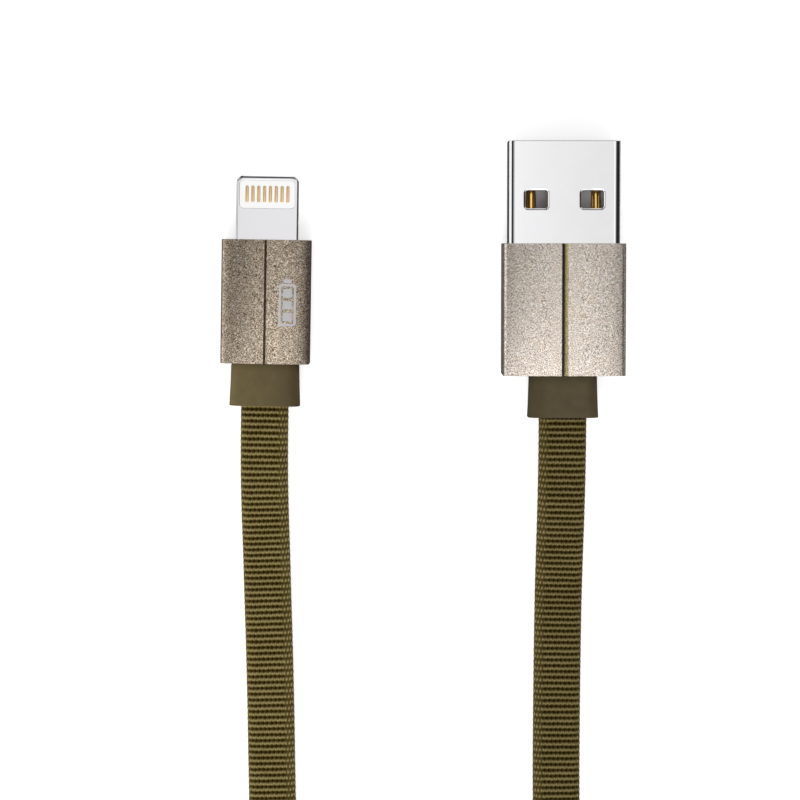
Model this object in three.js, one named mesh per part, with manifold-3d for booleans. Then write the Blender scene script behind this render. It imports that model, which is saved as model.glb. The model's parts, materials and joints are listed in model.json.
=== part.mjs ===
// A charging cable: a USB-A plug at one end, a slim reversible eight-contact plug at
// the other, and a flat woven cord one metre long between them.
// Millimetres, +Z up. The cable lies on a table at z = 0 with both plugs pointing along
// +Y, and the origin is on the table at the middle of the two plugs' footprint.
// Inside a plug's own group the origin is on its axis at the back end of its metal
// sleeve, +Y towards its tip.

import * as THREE from 'three';
import { mergeVertices } from 'three/addons/utils/BufferGeometryUtils.js';
import Module from 'manifold-3d';

const wasm = await Module();
wasm.setup();

// ---------------------------------------------------------------- driving dimensions

const GAP = 0.04;                  // left between neighbouring pieces

// Flat woven cord
const CORD_WIDTH = 5.2;
const CORD_THICKNESS = 1.9;
const WIRE_RADIUS = 0.5;
const WIRE_PITCH = 1.1;

// Strain relief collar, the same moulding on both plugs
const COLLAR_WIDTH = 7.4;
const COLLAR_THICKNESS = 4.0;
const COLLAR_LENGTH = 4.6;
const COLLAR_RADIUS = 1.2;
const FLANGE_BACK = 0.15;
const FLANGE_FRONT = 2.0;
const CORD_POCKET_DEPTH = 1.5;
const WIRE_SLOT_WIDTH = 4 * WIRE_PITCH + 0.3;
const WIRE_SLOT_HEIGHT = 2 * WIRE_RADIUS + 0.3;

// Crimp band round the four wires, behind each plug's electrics
const BAND_BACK = 2.2;
const BAND_FRONT = 3.5;
const BAND_WALL = 0.4;

// USB-A plug
const USB = {
  x: 15.24, y: -10.3,
  sleeveWidth: 13.2, sleeveThickness: 7.6, sleeveLength: 14.2,
  sleeveWall: 0.5, sleeveCrown: 0.5, sleeveCorner: 1.1,
  grooveWidth: 0.72, grooveDepth: 0.34,
  shellWidth: 12.0, shellHeight: 4.5, shellWall: 0.3, shellRadius: 0.7,
  shellBack: 8.1, shellExposed: 11.0,
  windowWidth: 2.5, windowLength: 2.3, windowRadius: 0.35,
  windowX: 3.0, windowFromMouth: 5.15,
  cavityDepth: 9.6, tongueInset: 0.35,
  contactX: [-3.5, -1.0, 1.0, 3.5], contactWidth: 1.0, contactThickness: 0.26,
  contactBack: 6.2, contactInset: 0.85,
};
USB.mouth = USB.sleeveLength + USB.shellExposed;

// Slim eight-contact plug
const SLIM = {
  x: -17.04, y: -9.1, lean: THREE.MathUtils.degToRad(0.95),
  sleeveWidth: 9.6, sleeveThickness: 5.6, sleeveLength: 13.4,
  sleeveWall: 0.55, sleeveCrown: 0.4, sleeveCorner: 0.9,
  grooveWidth: 0.36, grooveDepth: 0.3,
  tabWidth: 6.7, tabThickness: 1.5, tabExposed: 6.9, tabBack: 9.6,
  tabCorner: 0.75, tabEdge: 0.16,
  windowWidth: 6.06, windowLength: 3.12, windowRadius: 0.45, windowInset: 0.43,
  contactCount: 8, contactPitch: 0.63, contactWidth: 0.36, contactLength: 1.82,
  contactThickness: 0.12, contactProud: 0.02,
  boardWidth: 5.2, boardThickness: 0.5, boardBack: 5.0,
};
SLIM.tip = SLIM.sleeveLength + SLIM.tabExposed;
SLIM.windowFront = SLIM.tip - SLIM.windowInset;
SLIM.windowBack = SLIM.windowFront - SLIM.windowLength;

// Stored length of cord: a flat hank wound on edge, in line with the plugs
const HANK = {
  x: -0.9, topY: -107.3, run: 49.4,
  outerHalf: 23.75, innerHalf: 14.1, bottom: 0.8, top: 5.6,
  tieY: -139, tieWidth: 9, tieWall: 0.5, tieGap: 0.15,
};

// The cord's middle line from 0.3 mm behind each collar to the hank, laid on the table
const USB_RUN = [
  [15.24, -15.2, 3.8], [15.22, -19, 3.7], [15.18, -23, 3.3], [15.12, -27, 2.6],
  [15.05, -31, 1.8], [14.98, -35.5, 1.2], [14.92, -41, 1.0], [14.86, -48, 1.0],
  [14.85, -56, 1.0], [15.0, -64, 1.0], [15.8, -72, 1.0], [17.2, -80, 1.0],
  [18.3, -85, 1.0], [19.0, -90, 1.0],
];
const SLIM_RUN = [
  [-17.12, -14.0, 2.8], [-17.18, -18, 2.72], [-17.2, -22, 2.4], [-17.15, -26, 1.8],
  [-17.05, -30, 1.3], [-16.95, -34.5, 1.05], [-16.8, -40, 1.0], [-16.65, -47, 1.0],
  [-16.55, -54, 1.0], [-16.4, -60, 1.5], [-16.0, -66, 3.2], [-15.4, -72, 5.3],
  [-15.0, -78, 6.7], [-14.9, -84, 6.95], [-14.9, -92, 6.95], [-15.0, -99, 6.95],
];

// ---------------------------------------------------------------- shapes and solids

function roundedRect(width, height, radius, centreY = 0) {
  const shape = new THREE.Shape();
  const right = width / 2;
  const top = height / 2;
  shape.absarc(right - radius, centreY + top - radius, radius, 0, Math.PI / 2);
  shape.absarc(-right + radius, centreY + top - radius, radius, Math.PI / 2, Math.PI);
  shape.absarc(-right + radius, centreY - top + radius, radius, Math.PI, 1.5 * Math.PI);
  shape.absarc(right - radius, centreY - top + radius, radius, 1.5 * Math.PI, 2 * Math.PI);
  shape.closePath();
  return shape;
}

// A flat oval whose two wide faces bulge by `crown` at the middle.
function crownedOutline(width, thickness, crown, corner) {
  const right = width / 2;
  const top = thickness / 2;
  const shoulder = top - crown;
  const flat = right - corner;
  const shape = new THREE.Shape();
  shape.absarc(flat, shoulder - corner, corner, 0, Math.PI / 2);
  shape.quadraticCurveTo(0, top + crown, -flat, shoulder);
  shape.absarc(-flat, shoulder - corner, corner, Math.PI / 2, Math.PI);
  shape.absarc(-flat, -shoulder + corner, corner, Math.PI, 1.5 * Math.PI);
  shape.quadraticCurveTo(0, -top - crown, flat, -shoulder);
  shape.absarc(flat, -shoulder + corner, corner, 1.5 * Math.PI, 2 * Math.PI);
  shape.closePath();
  return shape;
}

// A section drawn in X and Z, run along Y.
function barAlongY(shape, back, front, curveSegments = 3) {
  const depth = front - back;
  const bar = new THREE.ExtrudeGeometry(shape, { depth, bevelEnabled: false, curveSegments });
  return bar.rotateX(Math.PI / 2).translate(0, front, 0);
}

// An outline drawn in X and Y, given a thickness in Z and, if wanted, rounded rims.
function plateAlongZ(shape, low, high, edge = 0, curveSegments = 3) {
  const plate = new THREE.ExtrudeGeometry(shape, {
    depth: high - low - 2 * edge,
    bevelEnabled: edge > 0,
    bevelThickness: edge,
    bevelSize: edge,
    bevelOffset: -edge,
    bevelSegments: 2,
    curveSegments,
  });
  return plate.translate(0, 0, low + edge);
}

function block(left, right, back, front, low, high) {
  const box = new THREE.BoxGeometry(right - left, front - back, high - low);
  return box.translate((left + right) / 2, (back + front) / 2, (low + high) / 2);
}

function toSolid(geometry) {
  const bare = geometry.clone();
  bare.deleteAttribute('normal');
  bare.deleteAttribute('uv');
  const merged = mergeVertices(bare);
  return new wasm.Manifold(new wasm.Mesh({
    numProp: 3,
    vertProperties: new Float32Array(merged.attributes.position.array),
    triVerts: new Uint32Array(merged.index.array),
  }));
}

function toGeometry(manifold) {
  const mesh = manifold.getMesh();
  const geometry = new THREE.BufferGeometry();
  geometry.setAttribute('position', new THREE.BufferAttribute(mesh.vertProperties, 3));
  geometry.setIndex(new THREE.BufferAttribute(mesh.triVerts, 1));
  geometry.computeVertexNormals();
  return geometry;
}

function cut(body, ...tools) {
  return toGeometry(tools.reduce((rest, tool) => rest.subtract(toSolid(tool)), toSolid(body)));
}

function join(first, ...others) {
  return toGeometry(others.reduce((sum, other) => sum.add(toSolid(other)), toSolid(first)));
}

function addPart(group, name, geometry, color, roughness, metalness) {
  const material = new THREE.MeshStandardMaterial({ color, roughness, metalness });
  const mesh = new THREE.Mesh(geometry, material);
  mesh.name = name;
  group.add(mesh);
}

function curveThrough(points) {
  return new THREE.CatmullRomCurve3(points.map((point) => new THREE.Vector3(...point)));
}

// ---------------------------------------------------------------- pieces of both plugs

// Metal sleeve: an open crowned tube with a V groove down the middle of both faces.
function sleeve(plug) {
  const { sleeveWidth, sleeveThickness, sleeveLength, sleeveWall } = plug;
  const outline = crownedOutline(
    sleeveWidth, sleeveThickness, plug.sleeveCrown, plug.sleeveCorner);
  outline.holes.push(sleeveBore(plug, 0));
  const top = sleeveThickness / 2;
  const grooves = [1, -1].map((side) => {
    const half = plug.grooveWidth / 2;
    const over = 0.2;
    const flank = half * (plug.grooveDepth + over) / plug.grooveDepth;
    const section = new THREE.Shape([
      new THREE.Vector2(-flank * side, side * (top + over)),
      new THREE.Vector2(0, side * (top - plug.grooveDepth)),
      new THREE.Vector2(flank * side, side * (top + over)),
    ]);
    return barAlongY(section, -1, sleeveLength + 1);
  });
  if (plug.grooveDepth >= sleeveWall) {
    throw new Error('the groove would cut through the sleeve');
  }
  return cut(barAlongY(outline, 0, sleeveLength, 5), ...grooves);
}

// Outline of the sleeve's bore, drawn in by `inset` for what fills it.
function sleeveBore(plug, inset) {
  const shrink = plug.sleeveWall + inset;
  return crownedOutline(
    plug.sleeveWidth - 2 * shrink, plug.sleeveThickness - 2 * shrink,
    plug.sleeveCrown, plug.sleeveCorner - plug.sleeveWall);
}

// Rubber collar: a neck for the cord and a flange trapped in the sleeve's back end.
function collar(plug) {
  const neck = roundedRect(COLLAR_WIDTH, COLLAR_THICKNESS, COLLAR_RADIUS);
  const body = join(
    barAlongY(neck, -COLLAR_LENGTH, FLANGE_BACK + GAP),
    barAlongY(sleeveBore(plug, GAP), FLANGE_BACK, FLANGE_FRONT));
  const pocketFloor = CORD_POCKET_DEPTH - COLLAR_LENGTH;
  const pocket = roundedRect(CORD_WIDTH + 0.3, CORD_THICKNESS + 0.3, 0.9);
  const slot = roundedRect(WIRE_SLOT_WIDTH, WIRE_SLOT_HEIGHT, 0.4);
  return cut(
    body,
    barAlongY(pocket, -COLLAR_LENGTH - 1, pocketFloor),
    barAlongY(slot, pocketFloor - GAP, FLANGE_FRONT + 1));
}

function crimpBand() {
  const outline = roundedRect(
    WIRE_SLOT_WIDTH + 2 * BAND_WALL, WIRE_SLOT_HEIGHT + 2 * BAND_WALL, 0.6);
  outline.holes.push(roundedRect(WIRE_SLOT_WIDTH, WIRE_SLOT_HEIGHT, 0.4));
  return barAlongY(outline, BAND_BACK, BAND_FRONT);
}

// Space for the crimp band, open towards the collar.
function bandSeat() {
  const wall = BAND_WALL + GAP;
  const seat = roundedRect(WIRE_SLOT_WIDTH + 2 * wall, WIRE_SLOT_HEIGHT + 2 * wall, 0.6);
  return barAlongY(seat, FLANGE_FRONT - 1, BAND_FRONT + 0.2);
}

function wire(points) {
  const section = new THREE.Shape();
  section.absarc(0, 0, WIRE_RADIUS, 0, 2 * Math.PI);
  return new THREE.ExtrudeGeometry(section, {
    steps: 9, curveSegments: 4, bevelEnabled: false, extrudePath: curveThrough(points),
  });
}

const WIRES = [
  ['power', 0xb02218], ['data_minus', 0xe8e6e0], ['data_plus', 0x2f7d3a], ['ground', 0x1c1c1c],
];
const WIRE_BACK = CORD_POCKET_DEPTH - COLLAR_LENGTH + 0.1;

function wireX(index) {
  return (index - 1.5) * WIRE_PITCH;
}

// ---------------------------------------------------------------- USB-A plug

function usbShell() {
  const outline = roundedRect(USB.shellWidth, USB.shellHeight, USB.shellRadius);
  outline.holes.push(roundedRect(
    USB.shellWidth - 2 * USB.shellWall, USB.shellHeight - 2 * USB.shellWall,
    USB.shellRadius - USB.shellWall));
  const windowFront = USB.mouth - USB.windowFromMouth;
  const windowMiddle = windowFront - USB.windowLength / 2;
  const windows = [-USB.windowX, USB.windowX].map((x) => {
    const shape = roundedRect(
      USB.windowWidth, USB.windowLength, USB.windowRadius, windowMiddle);
    return plateAlongZ(shape, -USB.shellHeight, USB.shellHeight).translate(x, 0, 0);
  });
  return cut(barAlongY(outline, USB.shellBack, USB.mouth), ...windows);
}

// White insulator: a full-height base, and a tongue along the lower half of the mouth.
function usbTongue() {
  const clearance = 0.05;
  const width = USB.shellWidth - 2 * (USB.shellWall + clearance);
  const height = USB.shellHeight - 2 * (USB.shellWall + clearance);
  const body = barAlongY(
    roundedRect(width, height, 0.4), USB.shellBack + clearance, USB.mouth - USB.tongueInset);
  const cavityBack = USB.mouth - USB.cavityDepth;
  const cavity = block(-width, width, cavityBack, USB.mouth + 1, 0, height);
  const grooveHalf = USB.contactWidth / 2 + GAP;
  const grooves = USB.contactX.map((x) => block(
    x - grooveHalf, x + grooveHalf,
    USB.shellBack - 1, USB.mouth - USB.tongueInset - USB.contactInset + GAP,
    -USB.contactThickness - GAP, 0.06));
  return cut(body, cavity, ...grooves);
}

function usbContact(x) {
  const half = USB.contactWidth / 2;
  const front = USB.mouth - USB.tongueInset - USB.contactInset;
  return block(
    x - half, x + half, USB.contactBack, front, -USB.contactThickness, GAP / 2);
}

function usbInnerMould() {
  const front = USB.sleeveLength - 0.2;
  const body = barAlongY(sleeveBore(USB, GAP), FLANGE_FRONT + GAP, front);
  const shellSeat = block(
    -USB.sleeveWidth, USB.sleeveWidth, USB.shellBack - GAP, front + 1,
    -USB.shellHeight / 2 - GAP, USB.shellHeight / 2 + GAP);
  const wireChamber = block(-4.4, 4.4, BAND_FRONT + 0.1, USB.shellBack, -0.6, 1.2);
  return cut(body, shellSeat, wireChamber, bandSeat());
}

function usbWire(index) {
  const soldered = WIRE_RADIUS + GAP;
  const x = wireX(index);
  const contact = USB.contactX[index];
  return wire([
    [x, WIRE_BACK, 0], [x, 0.5, 0], [x, BAND_FRONT + 0.2, 0],
    [(x + contact) / 2, 5.1, soldered / 2], [contact, 6.5, soldered], [contact, 7.7, soldered],
  ]);
}

function usbPlug() {
  const plug = new THREE.Group();
  addPart(plug, 'usb_shell', usbShell(), 0xdcdcdc, 0.2, 1);
  addPart(plug, 'usb_tongue', usbTongue(), 0xe4e4e2, 0.45, 0);
  addPart(plug, 'usb_inner_mould', usbInnerMould(), 0xd8d8d4, 0.6, 0);
  addPart(plug, 'usb_sleeve', sleeve(USB), 0xbfb1a4, 0.42, 0.85);
  addPart(plug, 'usb_collar', collar(USB), 0x5a5238, 0.7, 0);
  addPart(plug, 'usb_crimp_band', crimpBand(), 0xc8c8c8, 0.35, 1);
  WIRES.forEach(([name, color], index) => {
    addPart(plug, `usb_contact_${name}`, usbContact(USB.contactX[index]), 0xd9a64a, 0.25, 1);
    addPart(plug, `usb_wire_${name}`, usbWire(index), color, 0.5, 0);
  });
  plug.position.set(USB.x, USB.y, USB.sleeveThickness / 2);
  return plug;
}

// ---------------------------------------------------------------- slim plug

// Steel tab: a plate with a rounded tip, a window for the contacts, a slot for the
// circuit board and a latch notch in each side.
function slimTabFrame() {
  const { tabWidth, tabThickness, tabBack, tip, tabCorner } = SLIM;
  const right = tabWidth / 2;
  const outline = new THREE.Shape();
  outline.moveTo(-right, tabBack);
  outline.lineTo(right, tabBack);
  outline.absarc(right - tabCorner, tip - tabCorner, tabCorner, 0, Math.PI / 2);
  outline.absarc(-right + tabCorner, tip - tabCorner, tabCorner, Math.PI / 2, Math.PI);
  outline.closePath();
  const plate = plateAlongZ(outline, -tabThickness / 2, tabThickness / 2, SLIM.tabEdge);
  const windowHole = plateAlongZ(slimWindow(0), -tabThickness, tabThickness);
  const boardHalf = SLIM.boardWidth / 2 + 2 * GAP;
  const boardSlot = block(
    -boardHalf, boardHalf, tabBack - 1, SLIM.windowBack + 0.5,
    -SLIM.boardThickness / 2 - GAP, SLIM.boardThickness / 2 + GAP);
  const notchRadius = 1.0;
  const notchDepth = 0.25;
  const notches = [-1, 1].map((side) => {
    const notch = new THREE.CylinderGeometry(notchRadius, notchRadius, 0.8, 24);
    notch.rotateX(Math.PI / 2);
    return notch.translate(side * (right + notchRadius - notchDepth), tip - 4.3, 0);
  });
  return cut(plate, windowHole, boardSlot, ...notches);
}

function slimWindow(inset) {
  return roundedRect(
    SLIM.windowWidth - 2 * inset, SLIM.windowLength - 2 * inset,
    SLIM.windowRadius - inset, (SLIM.windowFront + SLIM.windowBack) / 2);
}

// A round-ended contact pad on the upper (+1) or lower (-1) face, grown by `margin`.
function slimPad(index, face, margin, reach) {
  const width = SLIM.contactWidth + 2 * margin;
  const length = SLIM.contactLength + 2 * margin;
  const middle = (SLIM.windowFront + SLIM.windowBack) / 2;
  const x = (index - (SLIM.contactCount - 1) / 2) * SLIM.contactPitch;
  const surface = SLIM.tabThickness / 2;
  const inner = surface - SLIM.contactThickness - margin;
  const outer = surface + reach;
  const pad = plateAlongZ(
    roundedRect(width, length, width / 2 - 0.001, middle),
    face > 0 ? inner : -outer, face > 0 ? outer : -inner, 0, 2);
  return pad.translate(x, 0, 0);
}

const PADS = [1, -1].flatMap((face) => Array.from(
  { length: SLIM.contactCount },
  (_, index) => ({ face, index, name: `${face > 0 ? 'top' : 'bottom'}_${index + 1}` })));

function slimInsulator() {
  const half = SLIM.tabThickness / 2;
  const body = plateAlongZ(slimWindow(GAP), -half, half);
  const seats = PADS.map(({ face, index }) => slimPad(index, face, GAP / 2, 0.5));
  return cut(body, ...seats);
}

function slimShieldCan() {
  const outline = roundedRect(6.9, 2.8, 0.4);
  outline.holes.push(roundedRect(6.5, 2.4, 0.2));
  return barAlongY(outline, 6.7, SLIM.tabBack - 0.1);
}

function slimInnerMould() {
  const front = SLIM.sleeveLength - 0.2;
  const half = SLIM.tabThickness / 2 + GAP;
  const body = barAlongY(sleeveBore(SLIM, GAP), FLANGE_FRONT + GAP, front);
  const tabSeat = block(
    -SLIM.tabWidth / 2 - GAP, SLIM.tabWidth / 2 + GAP,
    SLIM.tabBack - 0.1, front + 1, -half, half);
  const chamber = block(-3.5, 3.5, BAND_FRONT + 0.1, SLIM.tabBack - GAP, -1.45, 1.45);
  return cut(body, tabSeat, chamber, bandSeat());
}

function slimWire(index) {
  const x = wireX(index);
  const soldered = SLIM.boardThickness / 2 + GAP + WIRE_RADIUS;
  return wire([
    [x, WIRE_BACK, 0], [x, 0.5, 0], [x, BAND_FRONT - 0.3, 0],
    [x, 4.1, soldered * 0.45], [x, SLIM.boardBack - 0.1, soldered + 0.02],
    [x, 5.7, soldered + 0.02], [x, 6.4, soldered],
  ]);
}

function slimBoardParts(plug) {
  const half = SLIM.boardWidth / 2;
  const top = SLIM.boardThickness / 2;
  const onBoard = top + GAP;
  addPart(
    plug, 'slim_circuit_board',
    block(-half, half, SLIM.boardBack, SLIM.windowBack - GAP, -top, top), 0x1d5c3a, 0.5, 0);
  addPart(
    plug, 'slim_controller_chip',
    block(-1.4, 1.4, 6.9, 9.2, onBoard, onBoard + 0.65), 0x1a1a1c, 0.6, 0);
  [-1, 1].forEach((side, index) => {
    const x = side * 2.1;
    addPart(
      plug, `slim_capacitor_${index + 1}`,
      block(x - 0.25, x + 0.25, 7.4, 8.4, onBoard, onBoard + 0.5), 0xb39a78, 0.5, 0);
  });
  addPart(plug, 'slim_shield_can', slimShieldCan(), 0xc4c4c4, 0.35, 1);
}

function slimPlug() {
  const plug = new THREE.Group();
  addPart(plug, 'slim_tab_frame', slimTabFrame(), 0xdedede, 0.15, 1);
  addPart(plug, 'slim_tab_insulator', slimInsulator(), 0xf4f4f2, 0.3, 0);
  PADS.forEach(({ face, index, name }) => {
    const pad = slimPad(index, face, 0, SLIM.contactProud);
    addPart(plug, `slim_contact_${name}`, pad, 0xd9a64a, 0.25, 1);
  });
  slimBoardParts(plug);
  addPart(plug, 'slim_inner_mould', slimInnerMould(), 0xd8d8d4, 0.6, 0);
  addPart(plug, 'slim_sleeve', sleeve(SLIM), 0x8f8271, 0.45, 0.85);
  addPart(plug, 'slim_collar', collar(SLIM), 0x5f543a, 0.7, 0);
  addPart(plug, 'slim_crimp_band', crimpBand(), 0xc8c8c8, 0.35, 1);
  WIRES.forEach(([name, color], index) => {
    addPart(plug, `slim_wire_${name}`, slimWire(index), color, 0.5, 0);
  });
  plug.position.set(SLIM.x, SLIM.y, SLIM.sleeveThickness / 2);
  plug.rotation.z = -SLIM.lean;
  return plug;
}

// ---------------------------------------------------------------- cord

// A stretch of cord lying flat: the section's x stays level along the route.
function cordRun(points) {
  const section = new THREE.Shape();
  const halfThickness = CORD_THICKNESS / 2;
  const flat = CORD_WIDTH / 2 - halfThickness;
  section.absarc(flat, 0, halfThickness, -Math.PI / 2, Math.PI / 2);
  section.absarc(-flat, 0, halfThickness, Math.PI / 2, 1.5 * Math.PI);
  section.closePath();
  return new THREE.ExtrudeGeometry(section, {
    steps: 14, curveSegments: 2, bevelEnabled: false, extrudePath: curveThrough(points),
  });
}

// Racetrack outline round the hank's middle: half circles at both ends of two runs.
function racetrack(half) {
  const outline = new THREE.Shape();
  outline.absarc(0, 0, half, 0, Math.PI);
  outline.absarc(0, -HANK.run, half, Math.PI, 2 * Math.PI);
  outline.closePath();
  return outline;
}

function hankBody() {
  const outline = racetrack(HANK.outerHalf);
  outline.holes.push(racetrack(HANK.innerHalf));
  const body = plateAlongZ(outline, HANK.bottom, HANK.top, 0, 12);
  return body.translate(HANK.x, HANK.topY, 0);
}

// A hook-and-loop band round one leg of the hank; side is -1 for left, +1 for right.
function hankTie(side) {
  const inner = HANK.innerHalf - HANK.tieGap;
  const outer = HANK.outerHalf + HANK.tieGap;
  const width = outer - inner;
  const height = HANK.top - HANK.bottom + 2 * HANK.tieGap;
  const outline = roundedRect(width + 2 * HANK.tieWall, height + 2 * HANK.tieWall, 1.0);
  outline.holes.push(roundedRect(width, height, 0.5));
  const band = barAlongY(
    outline, HANK.tieY - HANK.tieWidth / 2, HANK.tieY + HANK.tieWidth / 2);
  const middle = (HANK.bottom + HANK.top) / 2;
  return band.translate(HANK.x + side * (inner + outer) / 2, 0, middle);
}

function cord() {
  const pieces = new THREE.Group();
  addPart(pieces, 'cord_run_usb', cordRun(USB_RUN), 0x4f4528, 0.9, 0);
  addPart(pieces, 'cord_run_slim', cordRun(SLIM_RUN), 0x594c2b, 0.9, 0);
  addPart(pieces, 'cord_hank', hankBody(), 0x544829, 0.9, 0);
  addPart(pieces, 'hank_tie_left', hankTie(-1), 0x2a2a28, 0.9, 0);
  addPart(pieces, 'hank_tie_right', hankTie(1), 0x2a2a28, 0.9, 0);
  return pieces;
}

// ---------------------------------------------------------------- assembly

const cable = new THREE.Group();
cable.add(usbPlug(), slimPlug(), cord());

export default cable;
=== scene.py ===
import json
import math

import bmesh
import bpy
import numpy as np
from mathutils import Matrix, Vector


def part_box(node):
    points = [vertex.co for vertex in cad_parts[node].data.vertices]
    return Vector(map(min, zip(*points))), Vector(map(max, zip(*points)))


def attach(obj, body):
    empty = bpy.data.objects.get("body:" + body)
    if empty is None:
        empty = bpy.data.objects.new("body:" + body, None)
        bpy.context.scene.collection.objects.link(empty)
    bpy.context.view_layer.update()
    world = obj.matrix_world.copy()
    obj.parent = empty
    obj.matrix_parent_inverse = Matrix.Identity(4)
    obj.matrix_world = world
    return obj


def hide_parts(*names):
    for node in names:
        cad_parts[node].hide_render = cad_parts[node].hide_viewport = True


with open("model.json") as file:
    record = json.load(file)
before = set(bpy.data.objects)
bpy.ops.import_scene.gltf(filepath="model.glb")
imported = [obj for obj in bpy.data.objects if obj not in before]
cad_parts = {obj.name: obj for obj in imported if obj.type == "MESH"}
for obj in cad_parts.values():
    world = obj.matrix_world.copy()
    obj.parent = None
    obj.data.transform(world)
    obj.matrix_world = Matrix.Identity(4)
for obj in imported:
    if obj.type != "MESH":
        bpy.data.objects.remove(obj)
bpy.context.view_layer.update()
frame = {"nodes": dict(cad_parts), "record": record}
MM = 0.001

# ------------------------ camera
LENS = 120.0
SENSOR = 36.0
VIEW_WIDTH = 86.96
PITCH = math.radians(3.5)
TARGET = Vector((-2.4, -13.1, 3.3)) * MM


def make_camera():
    data = bpy.data.cameras.new("camera")
    data.lens = LENS
    data.sensor_width = SENSOR
    data.clip_start = 0.01
    data.clip_end = 10.0
    cam = bpy.data.objects.new("camera", data)
    distance = VIEW_WIDTH * MM * LENS / SENSOR
    cam.location = TARGET + distance * Vector((0, math.sin(PITCH), math.cos(PITCH)))
    cam.rotation_euler = (-PITCH, 0, 0)
    bpy.context.scene.collection.objects.link(cam)
    bpy.context.scene.camera = cam


make_camera()


# ------------------------ meshes
def mesh_object(name, verts, faces, sharp=35.0, outward=True):
    """A mesh from points in millimetres, smooth except where it turns by more than sharp degrees."""
    mesh = bpy.data.meshes.new(name)
    mesh.from_pydata((np.asarray(verts, float) * MM).tolist(), [], faces)
    mesh.update()
    if outward:
        bm = bmesh.new()
        bm.from_mesh(mesh)
        bmesh.ops.recalc_face_normals(bm, faces=bm.faces)
        bm.to_mesh(mesh)
        bm.free()
    mesh.shade_smooth()
    mesh.set_sharp_from_angle(angle=math.radians(sharp))
    obj = bpy.data.objects.new(name, mesh)
    bpy.context.scene.collection.objects.link(obj)
    return obj


def ring_faces(rings, points, loop=False, start=0):
    """Quads between rings of points, numbered ring by ring from start."""
    faces = []
    for i in range(rings if loop else rings - 1):
        a, b = start + i * points, start + ((i + 1) % rings) * points
        for j in range(points):
            k = (j + 1) % points
            faces.append((a + j, a + k, b + k, b + j))
    return faces


def loft(name, rings, loop=False, sharp=35.0):
    """A solid through rings of equal length; a loop closes on its first ring, as a tube with a wall does."""
    rings = np.asarray(rings, float)
    count, points = rings.shape[:2]
    faces = ring_faces(count, points, loop)
    if not loop:
        faces.append(tuple(range(points)))
        faces.append(tuple(range((count - 1) * points, count * points)))
    return mesh_object(name, rings.reshape(-1, 3), faces, sharp)


def arc(cx, cy, r, a0, a1, steps):
    """Points on an arc from a0 to a1 degrees."""
    t = np.radians(np.linspace(a0, a1, steps + 1))
    return np.stack([cx + r * np.cos(t), cy + r * np.sin(t)], 1)


def rounded(w, h, r, steps, side=1):
    """Outline of a rounded rectangle, counter-clockwise from its right side, with side cuts in each edge."""
    corners = []
    for x, y, start in ((1, 1, 0), (-1, 1, 90), (-1, -1, 180), (1, -1, 270)):
        corners.append(arc(x * (w / 2 - r), y * (h / 2 - r), r, start, start + 90, steps))
    points = []
    for i, c in enumerate(corners):
        points.extend(c)
        a, b = c[-1], corners[(i + 1) % 4][0]
        points.extend(a + (b - a) * k / side for k in range(1, side))
    return np.array(points)


def inset(outline, d):
    """The outline moved inwards by d along its corner normals."""
    before = outline - np.roll(outline, 1, 0)
    after = np.roll(outline, -1, 0) - outline
    n = []
    for e in (before, after):
        e = e / np.maximum(np.linalg.norm(e, axis=1), 1e-9)[:, None]
        n.append(np.stack([e[:, 1], -e[:, 0]], 1))
    m = n[0] + n[1]
    m = m / np.maximum(np.linalg.norm(m, axis=1), 1e-9)[:, None]
    stretch = 1 / np.clip((m * n[0]).sum(1), 0.5, 1)
    return outline - m * (d * stretch)[:, None]


def along_y(section, y):
    """A section drawn in x and z, placed at y."""
    return np.stack([section[:, 0], np.full(len(section), y), section[:, 1]], 1)


def at_height(outline, z):
    """An outline drawn in x and y, placed at height z."""
    return np.stack([outline[:, 0], outline[:, 1], np.full(len(outline), z)], 1)


def place(obj, matrix):
    """Moves a mesh drawn at a plug's own origin to where the matrix puts it."""
    obj.data.transform(matrix)
    return obj


def cut_out(obj, cutters):
    """Cuts the cutters out of obj and leaves flat faces flat."""
    for c in cutters:
        m = obj.modifiers.new("cut", "BOOLEAN")
        m.operation = "DIFFERENCE"
        m.solver = "EXACT"
        m.object = c
    applied(obj)
    for c in cutters:
        bpy.data.objects.remove(c)
    obj.data.shade_smooth()
    obj.data.set_sharp_from_angle(angle=math.radians(26))
    obj.modifiers.new("flat", "WEIGHTED_NORMAL").keep_sharp = True
    applied(obj)
    return obj


def applied(obj):
    """Turns obj's modifiers into its mesh."""
    bpy.context.view_layer.update()
    graph = bpy.context.evaluated_depsgraph_get()
    made = bpy.data.meshes.new_from_object(obj.evaluated_get(graph))
    obj.modifiers.clear()
    old, obj.data = obj.data, made
    bpy.data.meshes.remove(old)


def finish_piece(obj, material, nodes):
    """Gives obj its material, hangs it under the root and hides the CAD nodes that it stands for."""
    obj.data.materials.clear()
    obj.data.materials.append(material)
    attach(obj, "root")
    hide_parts(*nodes)
    return obj


# ------------------------ sizes of the plugs, in millimetres
# Each plug is drawn with x across, z up and y from 0 at its sleeve's back end to the tip, so that its
# collar lies at negative y.
USB_SLEEVE_LENGTH = 14.2
USB_SLEEVE_WALL = 0.5
SLIM_SLEEVE_LENGTH = 13.4
SLIM_SLEEVE_WALL = 0.55
SLEEVE_BEVEL = 0.07
COLLAR_WIDTH = 7.35
COLLAR_THICKNESS = 3.95
COLLAR_LENGTH = 4.6
COLLAR_RADIUS = 1.2
COLLAR_FLARE = 0.04
POCKET_FLOOR = -3.1
POCKET_PLAY = 0.3
WIRE_SLOT_WIDTH = 4.7
WIRE_SLOT_HEIGHT = 1.3
FLANGE_BACK = 0.15
FLANGE_FRONT = 2.0
SHELL_WIDTH = 12.0
SHELL_HEIGHT = 4.5
SHELL_WALL = 0.3
SHELL_BACK = 8.1
SHELL_MOUTH = 25.2
SHELL_WINDOW_X = 3.0
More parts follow.
